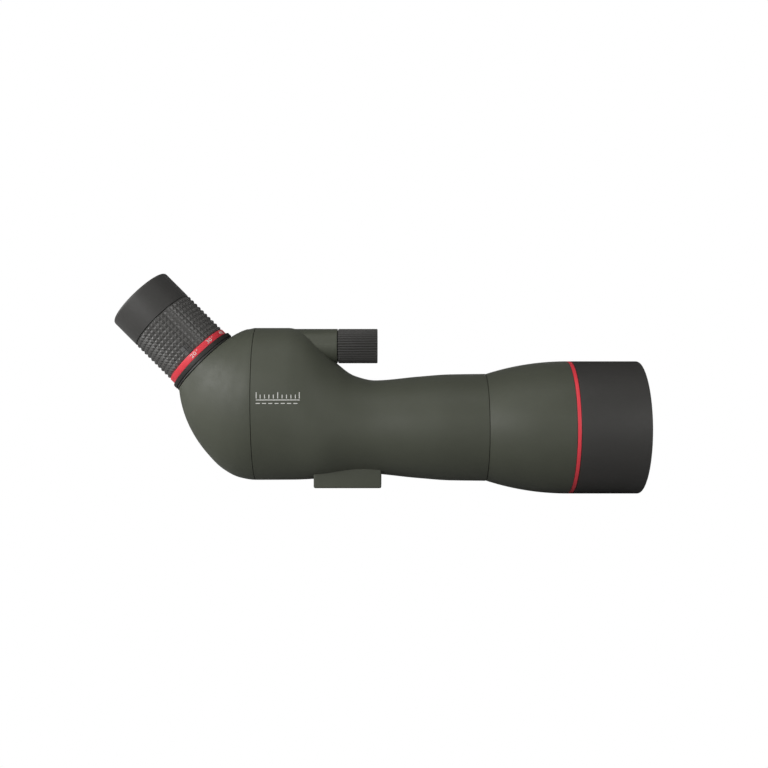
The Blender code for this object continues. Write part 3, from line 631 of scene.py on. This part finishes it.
def make_zoom_grip(surface):
    """The rubber grip: rows of small pyramids, and a patch of flat pads beside the number 20."""
    start, end, _, outer = span("zoom_grip", EYEPIECE)
    inner = 21.8 * MM
    rows = 10
    columns = 48
    depth = 1.0 * MM
    root = outer - depth
    edge = 0.2 * MM
    pitch = (end - start - 2 * edge) / rows
    pad_columns = (35, 36)
    pad_rows = (0, 1)
    parting = math.radians(294)

    def relief(turn):
        """The pyramids are lower beside the two parting lines of the mould."""
        away = abs((turn - parting + math.pi / 2) % math.pi - math.pi / 2)
        return 0.5 + 0.5 * min(1.0, away / math.radians(16))

    build = bmesh.new()

    def point(place, turn, radius):
        at = Vector((radius * math.cos(turn), radius * math.sin(turn), place))
        return build.verts.new(EYEPIECE @ at)

    def ring(place, radius):
        sides = [column + side for column in range(columns) for side in (0.02, 0.98)]
        return [point(place, 2 * math.pi * side / columns, radius) for side in sides]

    def join(low, high):
        count = len(low)
        for i in range(count):
            j = (i + 1) % count
            build.faces.new((low[i], low[j], high[j], high[i]))

    inner_low = ring(start, inner)
    below = ring(start, root)
    join(inner_low, below)
    for row in range(rows):
        low = start + edge + pitch * (row + 0.02)
        high = start + edge + pitch * (row + 0.98)
        low_ring = ring(low, root)
        high_ring = ring(high, root)
        join(below, low_ring)
        for column in range(columns):
            a, b = 2 * column, 2 * column + 1
            c = (2 * column + 2) % (2 * columns)
            corners = (low_ring[a], low_ring[b], high_ring[b], high_ring[a])
            build.faces.new((low_ring[b], low_ring[c], high_ring[c], high_ring[b]))
            pad = column in pad_columns and row in pad_rows
            middle_turn = 2 * math.pi * (column + 0.5) / columns
            middle = (low + high) / 2
            width = 0.90 if pad else 0.06
            height = root + (0.55 if pad else relief(middle_turn)) * depth
            half_turn = 0.48 * width * 2 * math.pi / columns
            half = 0.48 * width * pitch
            tips = []
            for along, around in ((-1, -1), (-1, 1), (1, 1), (1, -1)):
                tips.append(point(middle + along * half, middle_turn + around * half_turn, height))
            build.faces.new(tips)
            for i in range(4):
                j = (i + 1) % 4
                build.faces.new((corners[i], corners[j], tips[j], tips[i]))
        below = high_ring
    outer_high = ring(end, root)
    join(below, outer_high)
    inner_high = ring(end, inner)
    join(outer_high, inner_high)
    join(inner_high, inner_low)
    grip = finish_mesh("zoom_grip_rubber", build, surface, sharp=25)
    return mount(grip, "zoom_ring", "black_rubber", "zoom_grip")


def make_eyecup(surface, sleeve_surface):
    """The rubber cup with its rounded rim, and the sleeve and lifting ring under it."""
    start, end, _, outer = span("eyecup_rubber", EYEPIECE)
    end += 0.5 * MM
    bore = 21.3 * MM
    bore_end = 117.5 * MM
    lip = 16.2 * MM
    corners = [
        (start, bore, 0),
        (start, outer, 0.3 * MM),
        (end, outer, 4.0 * MM),
        (end - 0.1 * MM, 19.2 * MM, 1.2 * MM),
        (end - 1.3 * MM, lip, 0.35 * MM),
        (bore_end, lip, 0),
        (bore_end, bore, 0),
    ]
    cup = lathe("eyecup_rubber_cup", rounded(corners, 8), surface, EYEPIECE)
    mount(cup, "eyecup", "black_rubber", "eyecup_rubber")

    start, end, _, outer = span("eyecup_sleeve", EYEPIECE)
    sliding = 19.9 * MM
    flange = 16.5 * MM
    under_flange = end - 1.0 * MM
    profile = [(start, sliding), (start, outer), (end, outer), (end, flange)]
    profile += [(under_flange, flange), (under_flange, sliding)]
    sleeve = lathe("cup_sleeve", profile, sleeve_surface, EYEPIECE, 96)
    mount(sleeve, "eyecup", "black_plastic", "eyecup_sleeve")
    start, end, _, outer = span("eyecup_lift_ring", EYEPIECE)
    outline = ring_profile(start, end, sliding, outer, 0.1 * MM)
    lift = lathe("cup_lift", outline, sleeve_surface, EYEPIECE, 96)
    mount(lift, "eyecup_lift", "black_plastic", "eyecup_lift_ring")


def make_eye_lens(glass, black, metal):
    """What shows inside the eyecup: the housing with its stepped dish, the eye lens and its ring."""
    start, end, _, outer = span("eye_lens_housing", EYEPIECE)
    bore = 15.6 * MM
    mouth = 16.4 * MM
    seat = 113.4 * MM
    profile = [(start, bore), (start, outer - 0.3 * MM), (start + 0.3 * MM, outer)]
    groove = start + 4.0 * MM
    profile += [(groove, outer), (groove + 0.3 * MM, outer - 0.5 * MM)]
    profile += [(groove + 1.5 * MM, outer - 0.5 * MM), (groove + 1.8 * MM, outer)]
    profile += [(end - 0.4 * MM, outer), (end, outer - 0.4 * MM), (end, mouth)]
    for step in range(1, 7):
        place = end - 0.27 * MM * step
        radius = mouth - 0.62 * MM * step
        profile += [(place, radius), (place - 0.05 * MM, radius - 0.12 * MM)]
    profile += [(seat, 12.2 * MM), (seat, bore)]
    housing = lathe("eye_housing", profile, black, EYEPIECE)
    mount(housing, "scope", "black_plastic", "eye_lens_housing")

    radius = 13.1 * MM
    eye = lens("eye_glass", (103.0 * MM, 104.5 * MM), (109.8 * MM, 108.3 * MM), radius, glass, EYEPIECE)
    mount(eye, "scope", "coated_glass", "eye_lens")
    start, end, _, outer = span("eye_lens_ring", EYEPIECE)
    outline = ring_profile(start, end, 11.6 * MM, outer, 0.3 * MM)
    keeper = lathe("eye_ring", outline, metal, EYEPIECE, 96)
    mount(keeper, "scope", "black_anodised", "eye_lens_ring")


# Foot and print


def make_tripod_bush(surface):
    """The threaded brass bush in the foot. Its thread is drawn as rings of the same pitch."""
    axes = Matrix.Translation((BUSH_X, 0, 0))
    start, end, inner, outer = span("tripod_insert", axes)
    pitch = 1.27 * MM
    root = 3.17 * MM
    profile = [(end, root), (end, outer), (start, outer), (start, root + 0.5 * MM)]
    place = start + 0.5 * MM
    while place < end - pitch:
        profile += [(place, root), (place + 0.5 * pitch, inner), (place + pitch, root)]
        place += pitch
    bush = lathe("tripod_bush", rounded([(z, r, 0) for z, r in profile]), surface, axes, 64, sharp=25)
    return mount(bush, "scope", "brass", "tripod_insert")


def make_side_graphic(body, surface):
    """A plain printed scale on the near side of the body: a rule with ticks over it and dashes below."""
    left, right = -56.6 * MM, -29.4 * MM
    rule = 56.75 * MM
    half_line = 0.25 * MM
    strips = [(left, right, rule - half_line, rule + half_line)]
    ticks = 10
    for tick in range(ticks + 1):
        x = left + (right - left) * tick / ticks
        x = min(max(x, left + half_line), right - half_line)
        height = 3.9 if tick % 5 == 0 else 2.4
        strips.append((x - half_line, x + half_line, rule + 0.9 * MM, rule + (0.9 + height) * MM))
    dashes = 7
    pitch = (right - left) / dashes
    for dash in range(dashes):
        x = left + pitch * dash
        strips.append((x, x + 0.65 * pitch, rule - 2.4 * MM, rule - 1.9 * MM))

    mesh = body.data
    skin = BVHTree.FromPolygons([v.co[:] for v in mesh.vertices], [p.vertices[:] for p in mesh.polygons])
    build = bmesh.new()
    for strip in strips:
        print_strip(build, skin, *strip)
    return mount(finish_mesh("side_scale", build, surface), "scope", "olive_armour")


def print_strip(build, skin, low_x, high_x, low_z, high_z):
    """Adds a thin strip of paint that follows the skin, seen from the near side."""
    top, bottom = 0.05 * MM, -0.04 * MM
    columns = max(1, round((high_x - low_x) / MM))
    rows = max(1, round((high_z - low_z) / MM))
    layers = {}
    for lift in (top, bottom):
        for i in range(columns + 1):
            for j in range(rows + 1):
                x = low_x + (high_x - low_x) * i / columns
                z = low_z + (high_z - low_z) * j / rows
                at, normal, _, _ = skin.ray_cast(Vector((x, -0.1, z)), Vector((0, 1, 0)))
                layers[lift, i, j] = build.verts.new(at + normal * lift)
    for i in range(columns):
        for j in range(rows):
            corners = ((i, j), (i + 1, j), (i + 1, j + 1), (i, j + 1))
            build.faces.new([layers[top, *corner] for corner in corners])
            build.faces.new([layers[bottom, *corner] for corner in corners[::-1]])
    rim = [(i, 0) for i in range(columns)] + [(columns, j) for j in range(rows)]
    rim += [(i, rows) for i in range(columns, 0, -1)] + [(0, j) for j in range(rows, 0, -1)]
    for here, after in zip(rim, rim[1:] + rim[:1]):
        low, high = (layers[bottom, *here], layers[bottom, *after]), (layers[top, *after], layers[top, *here])
        build.faces.new(low + high)


# Materials


def new_surface(name):
    """A new material, its node tree and its main shader."""
    surface = bpy.data.materials.new(name)
    surface.use_nodes = True
    tree = surface.node_tree
    return surface, tree, tree.nodes["Principled BSDF"]


def noise(tree, scale, detail=2.0):
    """The value of a noise in the piece's own space, which moves with the piece."""
    place = tree.nodes.new("ShaderNodeTexCoord")
    texture = tree.nodes.new("ShaderNodeTexNoise")
    texture.inputs["Scale"].default_value = scale
    texture.inputs["Detail"].default_value = detail
    tree.links.new(place.outputs["Object"], texture.inputs["Vector"])
    return texture.outputs["Fac"]


def ranged(tree, value, low, high, start=0.3, end=0.7):
    """A value mapped from start..end onto low..high."""
    change = tree.nodes.new("ShaderNodeMapRange")
    change.inputs["From Min"].default_value = start
    change.inputs["From Max"].default_value = end
    change.inputs["To Min"].default_value = low
    change.inputs["To Max"].default_value = high
    tree.links.new(value, change.inputs["Value"])
    return change.outputs["Result"]


def multiplied(tree, first, second):
    """The product of two values."""
    product = tree.nodes.new("ShaderNodeMath")
    product.operation = "MULTIPLY"
    tree.links.new(first, product.inputs[0])
    tree.links.new(second, product.inputs[1])
    return product.outputs["Value"]


def mixed(tree, factor, first, second):
    """A colour between two colours or sockets."""
    mix = tree.nodes.new("ShaderNodeMix")
    mix.data_type = "RGBA"
    tree.links.new(factor, mix.inputs["Factor"])
    for socket, colour in ((mix.inputs["A"], first), (mix.inputs["B"], second)):
        if isinstance(colour, tuple):
            socket.default_value = (*colour, 1)
        else:
            tree.links.new(colour, socket)
    return mix.outputs["Result"]


def linear(red, green, blue):
    """A colour given as 0-255 screen values, in the linear values the shaders use."""
    values = (channel / 255 for channel in (red, green, blue))
    return tuple(v / 12.92 if v < 0.04045 else ((v + 0.055) / 1.055) ** 2.4 for v in values)


def lighter(colour, amount):
    """A colour made lighter, or darker where the amount is under one."""
    return tuple(min(1.0, channel * amount) for channel in colour)


def worn_edges(tree, start, end):
    """How much a point lies on a worn outer edge, broken up by noise."""
    shape = tree.nodes.new("ShaderNodeNewGeometry")
    edge = ranged(tree, shape.outputs["Pointiness"], 0, 1, start, end)
    return multiplied(tree, edge, ranged(tree, noise(tree, 450, 4), 0, 1, 0.42, 0.62))


def bumps(tree, shader, layers):
    """Adds bump layers (height socket, depth in metres), the first on top."""
    normal = None
    for height, depth in reversed(layers):
        bump = tree.nodes.new("ShaderNodeBump")
        bump.inputs["Distance"].default_value = depth
        tree.links.new(height, bump.inputs["Height"])
        if normal:
            tree.links.new(normal, bump.inputs["Normal"])
        normal = bump.outputs["Normal"]
    tree.links.new(normal, shader.inputs["Normal"])


def cells(tree, scale):
    """The distance inside small cells, for a leather-like grain."""
    place = tree.nodes.new("ShaderNodeTexCoord")
    texture = tree.nodes.new("ShaderNodeTexVoronoi")
    texture.inputs["Scale"].default_value = scale
    texture.feature = "SMOOTH_F1"
    tree.links.new(place.outputs["Object"], texture.inputs["Vector"])
    return texture.outputs["Distance"]


def coated_body(name, colour, roughness, grain, depth, wear=1.5, metallic=0.0):
    """A moulded or painted skin: fine grain, uneven gloss, faint marks and lighter edges."""
    surface, tree, shader = new_surface(name)
    patches = ranged(tree, noise(tree, 35, 3), 0, 1)
    base = mixed(tree, patches, lighter(colour, 0.95), lighter(colour, 1.05))
    worn = worn_edges(tree, 0.58, 0.72)
    tree.links.new(mixed(tree, worn, base, lighter(colour, wear)), shader.inputs["Base Color"])
    gloss = ranged(tree, noise(tree, 260, 5), roughness - 0.05, roughness + 0.05)
    tree.links.new(gloss, shader.inputs["Roughness"])
    shader.inputs["Metallic"].default_value = metallic
    bumps(tree, shader, [(cells(tree, grain), depth), (noise(tree, 900, 3), 0.6 * depth)])
    return surface, shader


def olive_armour():
    """Rubber-like olive coating with a satin sheen."""
    surface, shader = coated_body("olive_armour", linear(82, 85, 73), 0.50, 2600, 0.00002)
    shader.inputs["Sheen Weight"].default_value = 0.05
    return surface


def black_plastic():
    """Moulded black housing, as on the sunshade."""
    return coated_body("black_plastic", linear(65, 64, 62), 0.52, 3200, 0.000015)[0]


def collar_plastic():
    """Darker black, for the fixed collar."""
    return coated_body("collar_plastic", linear(54, 53, 51), 0.48, 3200, 0.000015)[0]


def black_rubber():
    """Softer black, for the grips and the eyecup."""
    surface, shader = coated_body("black_rubber", linear(64, 63, 61), 0.55, 2400, 0.00002, wear=1.1)
    shader.inputs["Sheen Weight"].default_value = 0.12
    return surface


def grip_rubber():
    """Harder and glossier black, with a painted highlight that makes the tip of every pyramid of the zoom
    grip lighter.
    """
    surface, shader = coated_body("grip_rubber", linear(34, 34, 33), 0.30, 2400, 0.00001, wear=1.0)
    tree = surface.node_tree
    shape = tree.nodes.new("ShaderNodeNewGeometry")
    # Painted highlight: the pointed tips of the pyramids are coloured lighter, standing in for the glints of
    # light on their facets.
    tips = ranged(tree, shape.outputs["Pointiness"], 0, 1, 0.58, 1.0)
    base = shader.inputs["Base Color"].links[0].from_socket
    tree.links.new(mixed(tree, tips, base, linear(92, 91, 89)), shader.inputs["Base Color"])
    shader.inputs["Specular IOR Level"].default_value = 0.8
    return surface


def inner_black():
    """Anti-glare paint inside the tubes."""
    return coated_body("inner_black", linear(24, 24, 24), 0.85, 1800, 0.00004, wear=1.0)[0]


def red_anodised():
    """Red metal ring with a fine grain."""
    surface, shader = coated_body("red_anodised", linear(255, 74, 86), 0.36, 2000, 0.000004, wear=1.05)
    shader.inputs["Specular IOR Level"].default_value = 0.6
    return surface


def white_paint():
    """Printed or filled-in white marks."""
    return coated_body("white_paint", linear(235, 235, 230), 0.55, 3000, 0.00001, wear=1.0)[0]


def bare_metal(name, colour, roughness):
    """Uncoated metal with a fine grain."""
    return coated_body(name, colour, roughness, 1500, 0.000004, wear=1.2, metallic=1.0)[0]


def coated_glass():
    """Optical glass with a thin coating that tints its reflections."""
    surface, tree, shader = new_surface("coated_glass")
    shader.inputs["Base Color"].default_value = (0.97, 0.99, 0.98, 1)
    shader.inputs["Transmission Weight"].default_value = 1.0
    shader.inputs["IOR"].default_value = 1.52
    shader.inputs["Thin Film Thickness"].default_value = 420
    shader.inputs["Thin Film IOR"].default_value = 1.38
    dust = ranged(tree, noise(tree, 1200, 2), 0.02, 0.06)
    tree.links.new(dust, shader.inputs["Roughness"])
    return surface


# Stage


def make_stage():
    """A pale floor under the sunshade's lowest point, and a white backdrop that lights little."""
    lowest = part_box("sunshade_tube")[0].z - 0.2 * MM
    bpy.ops.mesh.primitive_plane_add(size=12, location=(0, 0, lowest))
    floor = bpy.context.object
    floor.name = "floor"
    surface, tree, shader = new_surface("pale_floor")
    shader.inputs["Base Color"].default_value = (0.33, 0.33, 0.33, 1)
    shader.inputs["Roughness"].default_value = 0.9
    floor.data.materials.append(surface)
    seen = tree.nodes.new("ShaderNodeLightPath")
    white = tree.nodes.new("ShaderNodeEmission")
    white.inputs["Strength"].default_value = 1.0
    mix = tree.nodes.new("ShaderNodeMixShader")
    output = tree.nodes["Material Output"]
    tree.links.new(seen.outputs["Is Camera Ray"], mix.inputs["Fac"])
    tree.links.new(shader.outputs["BSDF"], mix.inputs[1])
    tree.links.new(white.outputs["Emission"], mix.inputs[2])
    tree.links.new(mix.outputs["Shader"], output.inputs["Surface"])

    world = bpy.data.worlds.new("studio")
    bpy.context.scene.world = world
    world.use_nodes = True
    tree = world.node_tree
    seen = tree.nodes.new("ShaderNodeLightPath")
    shade = tree.nodes.new("ShaderNodeMapRange")
    shade.inputs["To Min"].default_value = 0.04
    shade.inputs["To Max"].default_value = 1.0
    tree.links.new(seen.outputs["Is Camera Ray"], shade.inputs["Value"])
    background = tree.nodes["Background"]
    background.inputs["Color"].default_value = (1, 1, 1, 1)
    tree.links.new(shade.outputs["Result"], background.inputs["Strength"])


def make_light(name, place, power, mirrored=True):
    """A square soft light aimed at the middle of the scope. A fill light isn't mirrored in it."""
    light = bpy.data.lights.new(name, "AREA")
    light.shape = "SQUARE"
    light.size = 0.6
    light.energy = power
    lamp = bpy.data.objects.new(name, light)
    lamp.location = place
    lamp.visible_glossy = mirrored
    aim = Vector((0.02, 0, 0.05)) - Vector(place)
    lamp.rotation_euler = aim.to_track_quat("-Z", "Y").to_euler()
    bpy.context.scene.collection.objects.link(lamp)


def make_camera():
    """A level camera on the near side, a little above the optical axis."""
    camera = bpy.data.objects.new("camera", bpy.data.cameras.new("camera"))
    camera.data.lens = 50
    camera.data.sensor_width = 36
    camera.location = (0.0230, -0.6955, 0.06665)
    camera.rotation_euler = (math.radians(90), 0, 0)
    camera.data.clip_start = 0.01
    bpy.context.scene.collection.objects.link(camera)
    bpy.context.scene.camera = camera


def finish_inside_parts(slots):
    """Gives the inside parts that keep their frame mesh the first surface whose key is in their name."""
    for name, node in frame["nodes"].items():
        if node.hide_render:
            continue
        surface = next(made for key, made in slots if key in name)
        node.data.materials.clear()
        node.data.materials.append(surface)


def main():
    """Makes the surfaces, the pieces, the stage, the lights and the camera."""
    olive = olive_armour()
    plastic = black_plastic()
    rubber = black_rubber()
    dark = inner_black()
    red = red_anodised()
    paint = white_paint()
    glass = coated_glass()
    steel = bare_metal("steel", linear(178, 178, 176), 0.28)
    brass = bare_metal("brass", linear(196, 160, 92), 0.32)
    dark_metal = bare_metal("dark_metal", linear(58, 58, 58), 0.38)

    body = make_body_shell(olive, dark)
    make_side_graphic(body, paint)
    make_prism_cover(olive)
    make_objective_barrel(olive, dark)
    make_trim_ring(red)
    make_sunshade(plastic, dark)
    make_objective(glass, dark_metal, dark)
    make_baffles(dark)
    make_focus_knob(rubber, plastic)
    make_collar(collar_plastic())
    make_index_mark(paint)
    make_scale_ring(red)
    make_numbers(paint)
    make_zoom_grip(grip_rubber())
    make_eyecup(rubber, plastic)
    make_eye_lens(glass, dark, dark_metal)
    make_tripod_bush(brass)
    finish_inside_parts(
        [
            ("prism_frame", dark_metal),
            ("roof_prism", glass),
            ("focus_lens_ring", dark_metal),
            ("_lens", glass),
            ("gasket", rubber),
            ("seal", rubber),
            ("felt", dark),
            ("pin", dark_metal),
            ("bush", brass),
            ("screw", steel),
            ("rod", steel),
            ("clamp", steel),
            ("", dark_metal),
        ]
    )

    make_stage()
    make_light("left", (-0.95, -0.55, 0.50), 5.6)
    make_light("front", (-0.60, -0.95, 0.30), 4.0)
    make_light("right", (0.80, -0.90, 0.30), 2.8)
    make_light("end", (-1.20, 0.00, 0.25), 3.9)
    make_light("top", (0.00, -0.50, 1.10), 1.3)
    make_light("far", (0.35, 1.30, 0.30), 5.0, mirrored=False)
    make_light("mouth", (1.35, 0.15, 0.20), 4.0, mirrored=False)
    make_camera()
    bpy.context.scene.view_settings.view_transform = "Standard"


main()
